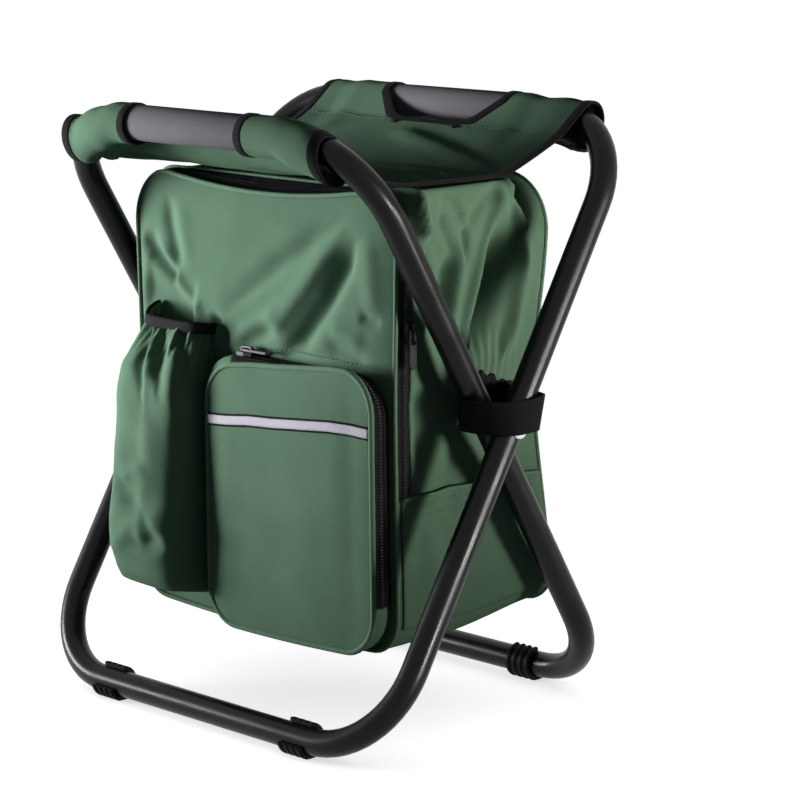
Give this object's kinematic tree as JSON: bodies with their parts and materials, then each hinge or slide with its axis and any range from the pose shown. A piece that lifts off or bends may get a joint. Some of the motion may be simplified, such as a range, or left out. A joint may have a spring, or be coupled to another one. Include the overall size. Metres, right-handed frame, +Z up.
{
  "type": "folding cooler stool",
  "caption": "Folding stool of crossed tube loops with a sling seat over the top rails, foam hand grips, and an insulated zip bag with pockets hung between the frames.",
  "frame": {"origin": "on the floor, midway between the four feet and under the pivots", "axes": "+Z up, +X to the right of someone facing the pockets, -Y towards the pockets"},
  "size_m": [0.363, 0.263, 0.4144],
  "materials": {
    "frame_paint": "satin",
    "steel": "satin",
    "nylon": "satin",
    "foot_rubber": "matte",
    "grip_foam": "matte",
    "green_fabric": "matte",
    "black_tape": "matte",
    "insulation_foam": "matte",
    "silver_liner": "satin",
    "reflective": "satin",
    "slider_metal": "satin"
  },
  "bodies": {
    "outer_frame": {"outer_frame_tube": "frame_paint", "outer_tube_joiner": "steel", "rear_grip": "grip_foam", "pivot_rivet_left": "steel", "pivot_rivet_right": "steel", "pivot_spacer_left": "nylon", "pivot_spacer_right": "nylon", "front_foot_left": "foot_rubber", "front_foot_right": "foot_rubber"},
    "inner_frame": {"inner_frame_tube": "frame_paint", "inner_tube_joiner": "steel", "front_grip": "grip_foam", "rear_foot_left": "foot_rubber", "rear_foot_right": "foot_rubber"},
    "bag": {"seat_sling": "green_fabric", "seat_binding_left": "black_tape", "seat_binding_right": "black_tape", "bag_gusset": "green_fabric", "bag_back_panel": "green_fabric", "zip_tape_bag": "black_tape", "front_panel_lower": "green_fabric", "insulation_sleeve": "insulation_foam", "insulation_back": "insulation_foam", "insulation_front_lower": "insulation_foam", "cooler_liner": "silver_liner", "liner_front_lower": "silver_liner", "side_slip_pocket": "green_fabric", "pocket_gusset": "green_fabric", "pocket_zip_tape": "black_tape", "pocket_front": "green_fabric", "reflective_strip": "reflective", "bottle_pocket": "green_fabric", "bottle_pocket_elastic": "black_tape", "frame_strap_left": "black_tape", "frame_strap_right": "black_tape", "shoulder_pad_left": "black_tape", "shoulder_pad_right": "black_tape", "strap_tail_left": "black_tape", "strap_tail_right": "black_tape", "strap_adjuster_left": "nylon", "strap_adjuster_right": "nylon"},
    "front_flap": {"front_flap_panel": "green_fabric", "zip_tape_flap": "black_tape", "insulation_flap": "insulation_foam", "liner_flap": "silver_liner"},
    "main_slider": {"main_slider": "slider_metal"},
    "main_pull": {"main_pull": "slider_metal"},
    "pocket_slider": {"pocket_slider": "slider_metal"},
    "pocket_pull": {"pocket_pull": "slider_metal"}
  },
  "joints": [
    {"name": "frame_fold", "type": "hinge", "parent": "outer_frame", "child": "inner_frame", "pos_m": [0, 0, 0.21046], "axis": [-1, 0, 0], "range_deg": [0, 54], "deforming": ["seat_sling", "seat_binding_left", "seat_binding_right"]},
    {"name": "bag_swing", "type": "hinge", "parent": "outer_frame", "child": "bag", "pos_m": [0, 0, 0.21046], "axis": [-1, 0, 0], "range_deg": [0, 27]},
    {"name": "flap_open", "type": "hinge", "parent": "bag", "child": "front_flap", "pos_m": [0, -0.0614, 0.163], "axis": [1, 0, 0], "range_deg": [0, 55], "deforming": ["pocket_gusset", "pocket_zip_tape", "pocket_front", "reflective_strip", "bottle_pocket", "bottle_pocket_elastic"]},
    {"name": "main_slider_slide", "type": "slide", "parent": "bag", "child": "main_slider", "axis": [0, 0, 1], "range_m": [-0.1, 0]},
    {"name": "main_pull_swing", "type": "hinge", "parent": "main_slider", "child": "main_pull", "pos_m": [0.1336, -0.054, 0.276], "axis": [0, -1, 0], "range_deg": [0, 90]},
    {"name": "pocket_slider_slide", "type": "slide", "parent": "front_flap", "child": "pocket_slider", "axis": [1, 0, 0], "range_m": [0, 0.1]},
    {"name": "pocket_pull_swing", "type": "hinge", "parent": "pocket_slider", "child": "pocket_pull", "pos_m": [-0.0065, -0.0715, 0.2496], "axis": [0, -1, 0], "range_deg": [0, 150]}
  ],
  "couplings": [
    {"joint": "bag_swing", "follows": "frame_fold", "ratio": 0.5}
  ]
}
